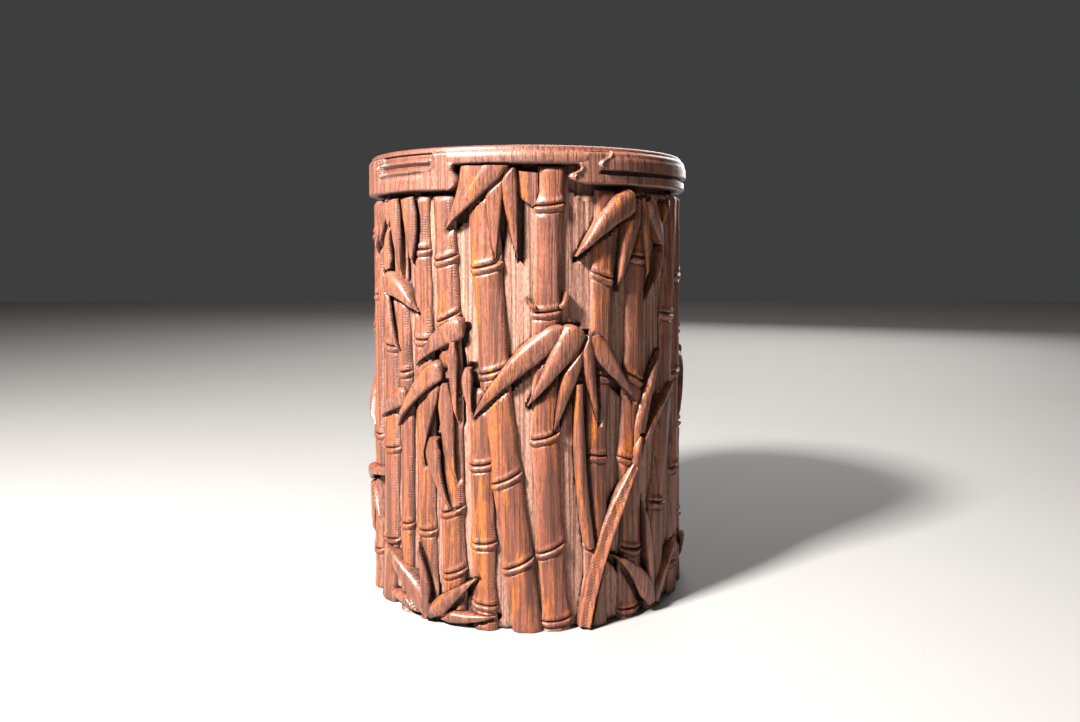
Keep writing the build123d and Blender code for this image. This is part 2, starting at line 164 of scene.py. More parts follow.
# Blades: root, middle and tip as (angle, height), half width, and 1 if the blade lies over its neighbours
STEMS = {
    "stem_long_right": (
        ((19.3, 0.8), (26.6, 28), (40.8, 53.4), 2.0, 1),
        ((39, 50.5), (39.8, 54.5), (41.4, 59.5), 1.2, 1),
        ((39.8, 50.5), (48, 63.6), (60.8, 74.8), 1.1, 1),
    ),
    "shoot_centre": (((21.7, 25.8), (18.6, 50), (17.8, 78), 1.4, 0),),
}
BUDS = {
    "stalk_08": (
        (((3.6, 101.8), (1.8, 102.8), (0.2, 104.9), 0.6, 0), "stem"),
        (((11.2, 101.8), (13, 103.3), (13.7, 106.5), 0.6, 0), "stem"),
        (((3.4, 132.4), (1.4, 136.4), (1.2, 142), 3.0, 0), "sheath"),
    ),
}
SPRAYS = {
    "spray_rim_left": (
        ((-61, 133.5), (-64, 126.5), (-69, 118), 2.6, 0),
        ((-58, 134), (-59.2, 128), (-63.6, 120), 1.8, 0),
        ((-51.5, 134.6), (-49.4, 124), (-46.8, 110.4), 2.7, 0),
        ((-55, 112.6), (-55.8, 119), (-53.6, 127), 2.6, 0),
        ((-55, 134), (-55, 130), (-54.4, 126), 1.8, 0),
    ),
    "blade_rim_left": (((-43.4, 134.8), (-41.4, 124), (-41.2, 114.6), 3.0, 0),),
    "spray_rim_centre": (
        ((-9.6, 143), (-9.8, 130), (-9.3, 116.5), 2.8, 0),
        ((-5.2, 143), (-4.2, 131), (-2.3, 116.7), 2.4, 0),
        ((-6.4, 147.2), (-15.4, 137.4), (-26.5, 125.5), 3.4, 1),
        ((-15.2, 147.5), (-18.4, 137), (-25.4, 126.8), 4.3, 1),
    ),
    "spray_rim_right": (
        ((40.5, 134.5), (36.5, 122), (32.5, 108), 3.3, 0),
        ((43.2, 135), (45, 122), (45.5, 109.5), 1.9, 0),
        ((46, 134.5), (51, 127.5), (56, 118), 3.2, 0),
        ((54.5, 120), (51.5, 112.5), (47, 105.4), 1.8, 0),
        ((59, 135), (57, 131), (54, 126.5), 1.5, 0),
        ((38.7, 134.6), (29.6, 129.6), (17.1, 117), 4.2, 1),
    ),
    "spray_upper_left": (
        ((-61.4, 112.5), (-57, 99), (-49, 86.5), 3.6, 0),
        ((-57, 108.6), (-47.6, 106.4), (-38.2, 99.6), 3.9, 1),
    ),
    "leaf_left_small": (((-18.5, 83), (-18.8, 76), (-17, 68.5), 1.9, 0),),
    "spray_mid_left": (
        ((-44, 73), (-53, 69.2), (-64, 62.4), 3.2, 0),
        ((-27.5, 82.5), (-36.5, 76.6), (-49.3, 62), 3.5, 1),
    ),
    "blade_mid_left": (((-20, 96), (-29, 91.8), (-40, 82.6), 3.8, 0),),
    "spray_left_stalk": (
        ((-24, 91), (-23.8, 79), (-22.5, 66), 1.7, 0),
        ((-29.6, 77), (-34.2, 66), (-36, 51), 2.2, 0),
        ((-27, 78), (-26, 63), (-23, 47.5), 2.8, 0),
        ((-31.5, 60), (-31, 50.5), (-25, 38), 2.8, 0),
    ),
    "blade_mid_long": (((13, 95.5), (-4, 82.6), (-17, 67.6), 3.7, 0),),
    "blade_mid_front": (((17, 96), (10.8, 86), (1, 71.8), 3.9, 1),),
    "spray_mid_right": (
        ((18.2, 90.5), (13.6, 77.5), (9.5, 64), 2.7, 0),
        ((20.5, 93), (21.4, 82), (24.5, 65.8), 2.3, 0),
        ((23.2, 92.4), (29.6, 83.4), (39.5, 72), 3.4, 0),
    ),
    "tuft_foot_left": (
        ((-32.6, 2.2), (-44.6, 12.8), (-58, 20.5), 3.8, 1),
        ((-36, 2.8), (-46, 4.2), (-55, 4.6), 2.2, 0),
        ((-33, 2.2), (-25, 9.2), (-15.8, 16.6), 2.7, 1),
        ((-30.5, 3), (-20, 3.3), (-9.6, 4.6), 2.2, 0),
        ((-34, 5), (-35.2, 15), (-38.5, 25), 1.7, 1),
    ),
    "tuft_foot_right": (
        ((50.5, 2.2), (56.5, 11.6), (68, 20), 2.8, 0),
        ((48, 5), (46.6, 22), (43.7, 37), 1.8, 0),
        ((46.5, 3), (41, 13.2), (30, 22.4), 3.4, 1),
    ),
    "leaf_right_stem": (((40.6, 55), (45, 71), (54, 86), 2.8, 0),),
    "spray_far_left": (
        ((-81, 37), (-72, 33), (-62, 25.5), 3.0, 0),
        ((-82, 36), (-82, 27), (-79, 17), 3.0, 0),
        ((-82, 38), (-73, 42.5), (-62.5, 42.5), 2.8, 1),
    ),
}
# Kinds of some blades, as (spray, number in it): how they begin, and if they are keeled or stippled. The
# others have a slender root.
ROOTS = {
    ("blade_mid_left", 0): "round", ("spray_mid_left", 0): "round", ("spray_mid_left", 1): "round",
    ("blade_mid_long", 0): "round", ("blade_mid_front", 0): "round", ("spray_rim_right", 5): "round stippled",
    ("spray_upper_left", 1): "round",
    ("spray_rim_centre", 0): "broad", ("spray_rim_centre", 1): "broad", ("spray_rim_centre", 2): "broad",
    ("spray_rim_centre", 3): "broad", ("blade_rim_left", 0): "broad", ("spray_rim_left", 2): "broad",
    ("spray_rim_left", 4): "broad", ("stem_long_right", 0): "keel stippled",
}
# Sprays of the far side: three arrangements of blades round (0, 0), and where each spray stands, as
# (arrangement, angle, height, 1 or -1 for its mirror image)
FAR_SHAPES = {
    "hanging": (
        ((0.8, -2), (3.2, -15), (3, -28), 2.8, 0),
        ((3, -2.5), (13.4, -10), (23, -22), 3.5, 1),
        ((-1.6, -2), (-8.6, -10), (-17, -17), 3.1, 0),
    ),
    "crossing": (
        ((-0.8, -3), (-4.4, -17), (-8, -31), 2.8, 0),
        ((-1.4, -1.6), (11.6, -11), (21, -25), 3.6, 0),
        ((1.4, -0.6), (-11.4, -7.2), (-23, -17), 3.7, 1),
    ),
    "rising": (
        ((-2, 0.5), (-12.4, 9), (-25, 17), 3.6, 1),
        ((2, 0.5), (12.6, 5.6), (24, 9), 2.8, 0),
        ((0, 1.4), (1, 14), (5, 27), 2.3, 0),
    ),
}
FAR_PLACES = {
    "far_spray_01": ("rising", 101.0, 2.4, 1),
    "far_spray_02": ("crossing", 93.0, 84.0, -1),
    "far_spray_03": ("hanging", 117.0, 144.0, 1),
    "far_spray_04": ("crossing", 138.0, 103.0, 1),
    "far_spray_05": ("rising", 158.0, 2.4, -1),
    "far_spray_06": ("crossing", 178.0, 68.0, -1),
    "far_spray_07": ("hanging", 187.0, 137.0, -1),
    "far_spray_08": ("rising", 214.0, 2.4, 1),
    "far_spray_09": ("crossing", 221.0, 98.0, 1),
    "far_spray_10": ("hanging", 239.0, 143.0, -1),
    "far_spray_11": ("crossing", 257.0, 74.0, -1),
}


# ---------------------------------------------------------------- relief space

def ground_radius(z):
    return GROUND_FOOT - TAPER * z


def to_u(angle):
    return np.radians(angle) * LAYOUT_RADIUS


def angle_apart(angle, other):
    """How far two angles are apart, the shorter way round."""
    return np.abs((angle - other + 180) % 360 - 180)


def wrap(u, z, d):
    """Points of the unrolled relief rolled up on the culm, in metres."""
    turn = u / LAYOUT_RADIUS
    radius = ground_radius(z) + d
    return np.stack([np.sin(turn) * radius, -np.cos(turn) * radius, z], -1) * MM


def smooth(edge0, edge1, value):
    share = np.clip((value - edge0) / (edge1 - edge0), 0, 1)
    return share * share * (3 - 2 * share)


def hump(value, width):
    return np.exp(-(value / width) ** 2)


def humps(value, rows):
    """Sum of humps, each row as (height, place, width)."""
    return sum(height * hump(value - place, width) for height, place, width in rows)


def quarter_round(share):
    """Rises like a quarter circle, from 0 where the share is 0 to 1 where it is 1."""
    return np.sqrt(np.clip(1 - (1 - np.clip(share, 0, 1)) ** 2, 0, 1))


def wobble(x, seed, amount, wavelength):
    """Slow unevenness of a hand-cut line: a few sines with fixed phases."""
    rng = np.random.default_rng(seed)
    total = np.zeros_like(x, dtype=float)
    for octave in (1.0, 1.9, 3.3):
        total += np.sin(x / wavelength * 2 * pi * octave + rng.uniform(0, 2 * pi)) / octave
    return amount * total / 1.8


def grid_mesh(name, layers, material, turned=(), smooth_angle=40.0):
    """A piece from grids of points, each (rows, loop points, 3). Ends are filled, or joined up if turned."""
    points, faces = [], []
    offset = 0
    for number, grid in enumerate(layers):
        rows, count = grid.shape[:2]
        points.append(grid.reshape(-1, 3))
        index = np.arange(rows * count).reshape(rows, count) + offset
        if number in turned:
            index = np.concatenate([index, index[:1]])
        after = np.roll(index, -1, axis=1)
        quads = np.stack([index[:-1], after[:-1], after[1:], index[1:]], -1).reshape(-1, 4)
        faces += quads.tolist()
        if number not in turned:
            faces.append(index[0][::-1].tolist())
            faces.append(index[-1].tolist())
        offset += rows * count
    mesh = bpy.data.meshes.new(name)
    mesh.from_pydata(np.concatenate(points).tolist(), [], faces)
    mesh.validate()
    tidy = bmesh.new()
    tidy.from_mesh(mesh)
    bmesh.ops.recalc_face_normals(tidy, faces=tidy.faces)
    tidy.to_mesh(mesh)
    tidy.free()
    mesh.polygons.foreach_set("use_smooth", np.ones(len(mesh.polygons), dtype=bool))
    mesh.set_sharp_from_angle(angle=radians(smooth_angle))
    mesh.materials.append(material)
    piece = bpy.data.objects.new(name, mesh)
    bpy.context.scene.collection.objects.link(piece)
    return piece


def place(piece, slot, *nodes):
    """Make a piece ride on the pot and let it stand in for CAD nodes; the slot argument is not used."""
    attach(piece, "root")
    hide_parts(*nodes)
    return piece


# ---------------------------------------------------------------- blades

def blade_curve(blade, rows):
    """A blade's course through its three places: the share along it, its middle line and the way across."""
    root, middle, tip, half_width, lift = blade
    start, bend, end = (np.array([to_u(a), z]) for a, z in (root, middle, tip))
    pull = 2 * bend - (start + end) / 2
    t = np.linspace(0, 1, rows)[:, None]
    centre = start * (1 - t) ** 2 + pull * 2 * t * (1 - t) + end * t**2
    run = (pull - start) * (1 - t) + (end - pull) * t
    run /= np.linalg.norm(run, axis=1, keepdims=True)
    across = np.stack([run[:, 1], -run[:, 0]], -1)
    return t[:, 0], centre, across


def blade_width(t, kind):
    """Share of a blade's half width along it, for each kind of blade."""
    if kind == "stem":
        return (1 + 0.08 * np.sin(t * pi)) * (1 - 0.3 * smooth(0.7, 1, t)) * (0.7 + 0.3 * smooth(0, 0.04, t))
    if "keel" in kind:
        return (0.85 + 0.15 * smooth(0, 0.3, t)) * (1 - 0.5 * smooth(0.6, 1, t))
    if kind == "sheath":
        return 0.3 + 0.7 * smooth(0.0, 0.5, t)
    tip = np.clip(1 - np.clip((t - 0.22) / 0.78, 0, 1) ** 1.45, 0, 1)
    if "round" in kind:
        root = quarter_round(t / 0.13) * (0.9 + 0.1 * smooth(0, 0.4, t))
    elif kind == "broad":
        root = 0.96 + 0.04 * smooth(0, 0.3, t)
    else:
        root = 0.42 + 0.58 * smooth(-0.08, 0.3, t)
    return np.maximum(root * tip, 0.03)


def undercut_side(across):
    """Which side of a blade faces down and to the right, where its edge is cut free."""
    return 1.0 if across[0] * 0.5 - across[1] * 0.86 > 0 else -1.0


def blade_hollow(u, z, blades, over=1.7):
    """How strongly the surface lies under any of the blades, from 0 to 1, or just past their free edge."""
    covered = np.zeros_like(u)
    once_round = 2 * pi * LAYOUT_RADIUS
    for blade, kind in blades:
        t, centre, across = blade_curve(blade, 26)
        side = undercut_side(across[len(across) // 2])
        width = blade_width(t, kind) * blade[3]
        low = centre.min(0) - blade[3] - 2
        high = centre.max(0) + blade[3] + 2
        for shift in (-once_round, 0, once_round):
            inside = (u + shift > low[0]) & (u + shift < high[0]) & (z > low[1]) & (z < high[1])
            if not inside.any():
                continue
            point = np.stack([u[inside] + shift, z[inside]], -1)
            gaps = point[:, None, :] - centre[None]
            nearest = np.argmin((gaps**2).sum(-1), axis=1)
            gap = gaps[np.arange(len(gaps)), nearest]
            local = (gap * across[nearest]).sum(-1) * side
            along = np.sqrt(np.maximum((gap**2).sum(-1) - local**2, 0))
            half = width[nearest]
            mask = smooth(-half * 0.75 - POCKET_SOFT, -half * 0.75 + POCKET_SOFT, local)
            mask *= 1 - smooth(half + over - POCKET_SOFT, half + over + POCKET_SOFT * 0.6, local)
            mask *= 1 - smooth(0.6, 1.6, along)
            covered[inside] = np.maximum(covered[inside], mask)
    return covered


def blade_top(t, width, half_width, length, edge, kind):
    """Height of a blade's edge along it, and of its top, as rows along it and columns across."""
    crest = (RIDGE_RISE - EDGE_RISE) * np.clip(width / max(half_width, 2.2), 0, 1) ** 0.8
    crest = crest * (0.2 if kind == "sheath" else 1.0)
    across = np.linspace(-1, 1, 25)
    crown = np.interp(across, *(KEEL_SECTION if "keel" in kind else BLADE_SECTION))
    fullness = np.clip(width / 1.6, 0.25, 1)
    lip = edge * (0.62 + 0.38 * smooth(0.0, 0.25, width / max(half_width, 0.1)))
    top = lip[:, None] + (crest * fullness)[:, None] * crown[None]
    if "stippled" in kind:
        dots = np.sin(t * length * 2 * pi / STIPPLE_PITCH)[:, None] * np.sin(across * 9 + 1)[None]
        inner = 0.3 if "keel" in kind else -0.5
        dotted = smooth(-0.97, -0.85, across) * smooth(inner, inner - 0.2, across)
        top = top + STIPPLE_RISE * dots * dotted[None]
    if "round" in kind:
        top = top - 0.9 * (1 - np.maximum(quarter_round(t / 0.09), 0.1414))[:, None]
    return across, lip, top


def blade_grid(blade, kind="", over=(), seed=0):
    """Closed loops along one blade: a bevel on the upper side, a soft crest, a free lower edge."""
    half_width, lift = blade[3], blade[4]
    start, end = np.array(blade[0]), np.array(blade[2])
    length = np.hypot((end - start)[0] * MM_PER_DEGREE, (end - start)[1])
    rows_per_mm = 4.2 if "stippled" in kind else 2.4
    t, centre, across = blade_curve(blade, int(24 + length * rows_per_mm))
    width = blade_width(t, kind) * half_width
    width = width * (1 + wobble(t * length, seed, 0.035, 9.0))
    side = undercut_side(across[len(across) // 2])
    edge = SHEATH_RISE if kind == "sheath" else EDGE_RISE + FRONT_LIFT * lift
    top_x, lip, top_d = blade_top(t, width, half_width, length, edge, kind)
    x = np.tile(np.concatenate([top_x, BACK_ACROSS]), (len(t), 1)) * width[:, None] * side
    back_d = np.maximum(lip[:, None] - BACK_DROP, BACK_LOWEST)
    back_d = np.where(np.isinf(BACK_DROP), BACK_BURIED, back_d)
    d = np.concatenate([top_d, back_d], 1)
    u = centre[:, :1] + across[:, :1] * x
    z = centre[:, 1:] + across[:, 1:] * x
    if start[1] > BAND_BOTTOM:
        beyond = np.maximum(z - HANG_LEVEL, 0)
        u = u + beyond * across[:, 1:] / across[:, :1]
        z = z - beyond
    if over:
        d = np.where(d > 0, d - BLADE_POCKET * blade_hollow(u, z, over, over=1.2), d)
    points = wrap(u, np.maximum(z, FOOT_GAP), d)
    return points if side > 0 else points[:, ::-1]


# ---------------------------------------------------------------- layout of the far side

def stalk_top(angle):
    for centre, bottom, reach in LAPPETS:
        if angle_apart(angle, centre) < LAPPET_HALF + SCROLL_REACH:
            return bottom
    return BAND_BOTTOM


def all_stalks():
    rows = dict(STALKS)
    for index, lean in enumerate(FAR_LEANS):
        foot = FAR_FIRST + FAR_PITCH * index
        top = stalk_top(foot + lean)
        course = ((0, foot), (HEIGHT / 2, foot + lean * FAR_BEND_SHARE), (top, foot + lean))
        first = FAR_JOINT_FIRST[index % len(FAR_JOINT_FIRST)]
        tilt = FAR_JOINT_TILTS[index % len(FAR_JOINT_TILTS)]
        levels = [first + FAR_JOINT_STEP * turn for turn in range(FAR_JOINT_COUNT)]
        joints = tuple((level, tilt) for level in levels if level < top - FAR_JOINT_MARGIN)
        half_width = FAR_HALF_WIDTHS[index % len(FAR_HALF_WIDTHS)]
        rows[f"stalk_{len(STALKS) + index + 1:02d}"] = (half_width, course, joints)
    return rows


def all_sprays():
    rows = {name: list(blades) for name, blades in SPRAYS.items()}
    for name, (shape, angle, level, hand) in FAR_PLACES.items():
        rows[name] = [
            tuple((angle + hand * point[0], level + point[1]) for point in blade[:3]) + blade[3:]
            for blade in FAR_SHAPES[shape]
        ]
    return rows


STALK_ROWS = all_stalks()
SPRAY_ROWS = all_sprays()


def root_kind(name, number):
    if name.startswith("far_spray") and FAR_PLACES[name][0] == "crossing" and number == 2:
        return "round"
    return ROOTS.get((name, number), "stem" if name in STEMS else "")


ALL_BLADES = [
    (blade, root_kind(name, number))
    for name, blades in (SPRAY_ROWS | STEMS).items()
    for number, blade in enumerate(blades)
]
UPPER_BLADES = [(blade, kind) for blade, kind in ALL_BLADES if blade[4] > 0]


# ---------------------------------------------------------------- stalks

def stalk_levels(top, joints, step=1.1, fine=0.2, reach=4.4):
    """Heights of a stalk's loops, close together at the joints and at its top."""
    levels = [0.0]
    while levels[-1] < top:
        near = any(abs(levels[-1] - joint) < reach for joint, tilt in joints) or levels[-1] > top - 3
        levels.append(levels[-1] + (fine if near else step))
    levels[-1] = top
    return np.array(levels)


def stalk_centre(z, top, course):
    """Middle line of a stalk at each height: its course with the corners eased."""
    heights = [level for level, angle in course]
    angles = [angle for level, angle in course]
    dense = np.arange(-12, top + 12, 1.0)
    kernel = np.exp(-np.linspace(-2, 2, 17) ** 2)
    eased = np.convolve(np.interp(dense, heights, angles), kernel / kernel.sum(), mode="same")
    return to_u(np.interp(z, dense[8:-8], eased[8:-8]))


def stalk_waist(z, top, joints):
    """How far each height is into the slimmer stretch between two joints, from 0 to 1."""
    bounds = [0.0] + sorted(level for level, tilt in joints) + [top]
    waist = np.zeros_like(z)
    for low, high in zip(bounds, bounds[1:]):
        inside = (z >= low) & (z <= high)
        waist[inside] = np.sin((z[inside] - low) / (high - low) * pi) ** 0.7
    return waist


def stalk_grid(name, half_width, course, joints):
    """Closed loops up one stalk: a rounded front with a ring and a groove at each joint, and a flat back."""
    top = course[-1][0] - (UNDER_LAPPET_GAP if course[-1][0] < BAND_BOTTOM else UNDER_BAND_GAP)
    heights = stalk_levels(top, joints)
    seed = sum(ord(letter) for letter in name)
    centre = stalk_centre(heights, top, course) + wobble(heights, seed, 0.16, 31.0)
    s = np.sin(np.radians(np.linspace(-90, 90, 31)))[None]
    z = np.repeat(heights[:, None], s.shape[1], axis=1)
    waist = stalk_waist(z, top, joints)
    width = half_width * (1 + wobble(z, seed + 1, 0.035, 27.0)) * (1 - 0.045 * waist)
    rise = STALK_RISE * (1 - np.abs(s) ** 2.5) ** 0.55
    rise = rise * (1 + wobble(z, seed + 2, 0.05, 19.0))
    rise = rise + 0.1 * np.sin(s * 7.5 + seed + z * 0.02) * (1 - s**4)
    rise = rise * (1 - 0.07 * waist)
    for level, tilt in joints:
        slant = np.tan(radians(tilt)) * half_width
        above = z - level - slant * s + 0.5 * (1 - s**2) - 0.25
        rise = rise + np.sqrt(np.clip(1 - s**8, 0, 1)) * humps(above, JOINT_RINGS)
        width = width * (1 + humps(above, JOINT_SWELLS))
    rise = rise * (0.25 + 0.75 * quarter_round(np.maximum((top - z) / 2.2, 0.001)))
    u = centre[:, None] + width * s
    rise = rise * (1 - STALK_POCKET * blade_hollow(u, z, ALL_BLADES, over=1.35))
    if name == FRONT_STALK:
        rise = rise + FRONT_STALK_RISE
    base = np.full((len(heights), 1), -1.0)
    u = np.concatenate([u, u[:, -1:] - 0.12, u[:, :1] + 0.12], 1)
    d = np.concatenate([rise, base, base], 1)
    z = np.concatenate([z, heights[:, None], heights[:, None]], 1)
    return wrap(u, z, d)


# ---------------------------------------------------------------- rim band

# A lappet's rows of points: where they begin to be close together, and the highest one
FINE_ROWS_FROM = 141.0
LAPPET_TOP = 148.6
# Half width of a cut line on the band, and depth of a sunk panel
FRET_WIDTH = 0.42
PANEL_DEPTH = 1.15
# Swell of a lappet's end from its lower edge, at 0, to the band's, at 1: where, and as a share of its reach
SCROLL_SWELL = (
    (0, 0.03, 0.1, 0.2, 0.35, 0.5, 0.62, 0.72, 0.82, 1.0, 1.3),
    (-0.7, -0.3, 0.3, 0.78, 1.0, 0.85, 0.35, 0.06, 0.0, 0.24, 0.26),
)
# Section of the band as (radius, height)
BAND_PROFILE = (
    (50.4, 144.3), (54.0, 144.3), (54.75, 144.7), (55.05, 145.5), (55.1, 146.6), (54.8, 147.6), (54.3, 148.3),
    (53.95, 148.8), (53.9, 149.3), (53.2, 149.85), (51.6, 150.0), (48.5, 150.0),
    (46.6, 149.9), (45.5, 149.3), (44.95, 148.2), (44.9, 147.2), (46.0, 146.4), (48.0, 145.0),
)


def rolled_profile(profile, steps, seed):
    """A closed (radius, height) outline turned round the culm, uneven and drawn in behind the lappets."""
    turn = np.linspace(0, 2 * pi, steps, endpoint=False)[:, None]
    angle = np.degrees(turn)
    profile = np.array(profile)
    uneven = wobble(angle, seed, 0.07, 72.0) + wobble(angle, seed + 1, 0.04, 24.0)
    radius = profile[None, :, 0] + uneven * (profile[None, :, 0] > 50)
    level = profile[None, :, 1] + np.zeros_like(turn)
    behind = np.zeros_like(turn)
    for centre, bottom, reach in LAPPETS:
        behind = np.maximum(behind, smooth(LAPPET_HALF - 2, LAPPET_HALF - 5, angle_apart(angle, centre)))
    radius = radius - behind * np.maximum(radius - BAND_BACK, 0) * smooth(148.35, 147.7, level)
    return np.stack([np.sin(turn) * radius, -np.cos(turn) * radius, level], -1) * MM


def rounded_outline(corners, cuts):
    """A closed outline with its corners softened by cutting them again and again."""
    outline = np.array(corners, dtype=float)
    for _ in range(cuts):
        after = np.roll(outline, -1, axis=0)
        outline = np.stack([outline * 0.75 + after * 0.25, outline * 0.25 + after * 0.75], 1).reshape(-1, 2)
    return outline


def segment_distance(u, z, points):
    """Distance from each grid point to a line through the points."""
    best = np.full(u.shape, 1e9)
    for (au, az), (bu, bz) in zip(points, points[1:]):
        du, dz = bu - au, bz - az
        share = np.clip(((u - au) * du + (z - az) * dz) / (du * du + dz * dz), 0, 1)
        best = np.minimum(best, np.hypot(u - au - share * du, z - az - share * dz))
    return best


def lappet_grid(centre, bottom, reach, fret):
    """One lappet: a slab whose ends swell out in a scroll, with a rounded lower lip and cut lines on it."""
    lower = [np.linspace(bottom, bottom + 1.2, 7), np.linspace(bottom + 1.5, FINE_ROWS_FROM, 6)]
    rows = np.concatenate([*lower, np.linspace(FINE_ROWS_FROM + 0.25, LAPPET_TOP, 34)])
    columns = np.linspace(-1, 1, 330)
    share = (rows - bottom) / (BAND_BOTTOM - bottom)
    half = LAPPET_HALF + reach * np.interp(share, *SCROLL_SWELL)
    u = to_u(centre + columns[None] * half[:, None])
    z = np.repeat(rows[:, None], len(columns), axis=1) + wobble(u, int(bottom), 0.12, 40.0)
    inward = to_u(half[:, None] * (1 - np.abs(columns)[None]))
    below_bar = smooth(BAND_BOTTOM + 0.6, BAND_BOTTOM - 0.4, z)
    lip = 1 - quarter_round((z - z[:1]) / 0.8)
    end = 1 - quarter_round(inward / 0.8)
    d = LAPPET_RISE - LAPPET_ROUND * (lip + end * below_bar)
    d = d + fret(u, z) + 0.3 * hump(inward - 0.9, 0.4) * below_bar
    d = d - 1.6 * smooth(147.2, 149.0, z) ** 1.5 - 0.3 * smooth(3.0, 0.5, inward) * (1 - below_bar)
    front = wrap(u, z, d)
    back = wrap(u[:, ::-30], z[:, ::-30], np.full(u[:, ::-30].shape, -0.8))
    return np.concatenate([front, back], 1)


def moulding(u, z, points, width):
    """A thin raised line through points of the band, highest in its middle."""
    return hump(segment_distance(u, z, [(to_u(angle), level) for angle, level in points]), width)


def curve_u(z, levels, angles):
    """Where a scroll's outline runs at each height."""
    return to_u(np.interp(z, levels, angles))


def fret_left(u, z):
    """Sunk panel that ends in a curl, with two nested corner mouldings."""
    curl = curve_u(z, (142.4, 143.0, 144.2, 145.6, 146.9, 150.0), (-34.0, -31.8, -30.0, -29.8, -30.6, -31.2))
    low = 142.5 + 0.025 * (np.degrees(u / LAYOUT_RADIUS) + 59)
    side = to_u(-59.6)
    panel = smooth(0.25, -0.25, u - curl) * smooth(-0.3, 0.3, u - side) * smooth(-0.25, 0.25, z - low)
    lines = moulding(u, z, ((-58.2, 150), (-57.4, 145.4), (-32.8, 145.6)), FRET_WIDTH)
    corner = ((-60.3, 145), (-59.2, 142.6), (-31.9, 143.2), (-30.1, 144.3), (-29.9, 145.7), (-31, 149))
    edge = moulding(u, z, corner, FRET_WIDTH)
    cove = -0.6 * hump(z - low + 1.1, 0.75) * smooth(1, -3, u - curl) * smooth(-2, 1, u - side)
    return -PANEL_DEPTH * panel + 1.2 * lines * panel + 0.65 * edge + cove


def fret_right(u, z):
    """Raised panel behind a scroll, standing over a plain lower band."""
    scroll = curve_u(
        z, (142.6, 143.7, 144.5, 145.6, 146.6, 148.0, 149.4), (26.4, 24.6, 24.2, 25.0, 27.5, 28.5, 28.3)
    )
    panel = smooth(-0.25, 0.25, u - scroll) * smooth(142.45, 142.75, z)
    groove = smooth(141.4, 141.8, z) * smooth(142.95, 142.5, z) * smooth(to_u(24.4), to_u(26.0), u)
    lip = hump(u - scroll - 0.3, FRET_WIDTH) * smooth(142.5, 143.2, z)
    hook = moulding(u, z, ((18.3, 143.4), (16.7, 141.8), (15.8, 140.3), (16.2, 139.2)), 0.38)
    return 0.65 * panel - 1.9 * groove + 0.45 * lip + 0.5 * hook - 0.5 * hump(z - 147.3, 1.0) * panel


def fret_far(u, z):
    """The third lappet's panel, like the left one, closed at both ends."""
    inset = to_u(28.0) - np.abs(u - to_u(177.0))
    panel = smooth(-0.25, 0.25, inset) * smooth(142.3, 142.8, z)
    lines = hump(z - 145.5, FRET_WIDTH) * smooth(0, 1, inset - 1.5)
    edge = hump(z - 142.6, FRET_WIDTH) * smooth(-0.5, 0, inset)
    edge = edge + hump(inset, FRET_WIDTH) * smooth(142.3, 142.8, z)
    return -PANEL_DEPTH * panel + 1.2 * lines + 0.65 * np.minimum(edge, 1.0)


# ---------------------------------------------------------------- materials

UP = (0.0, 0.0, 1.0)
# Depth of the materials' fine relief, and how near a hollow's walls have to be for the painted shade in it,
# in millimetres
BUMP_DEPTH = 0.2
SHADE_REACH = 4.0
# Pale tone of the painted sheen, which is also painted light that grows towards the top
PAINTED_SHEEN_TONE = (0.31, 0.15, 0.11)
# Dark marks of the culm, and last the painted shade of its hollows, each drawn over the one before: how much
# of the wood they cover, and their colour
MARK_TONES = {
    "speckle": (0.5, (0.10, 0.030, 0.018)),
    "line": (0.62, (0.055, 0.016, 0.009)),
    "bundle": (0.5, (0.035, 0.010, 0.006)),
    "tick": (0.6, (0.022, 0.007, 0.004)),
    # painted shade: near black where close walls hem the surface in
    "hollow_shade": (0.94, (0.006, 0.002, 0.0012)),
}
# How deep some of them are cut, as a share of the fine relief's depth
MARK_DEPTHS = {"line": -0.8, "bundle": -0.5, "tick": -1.4}


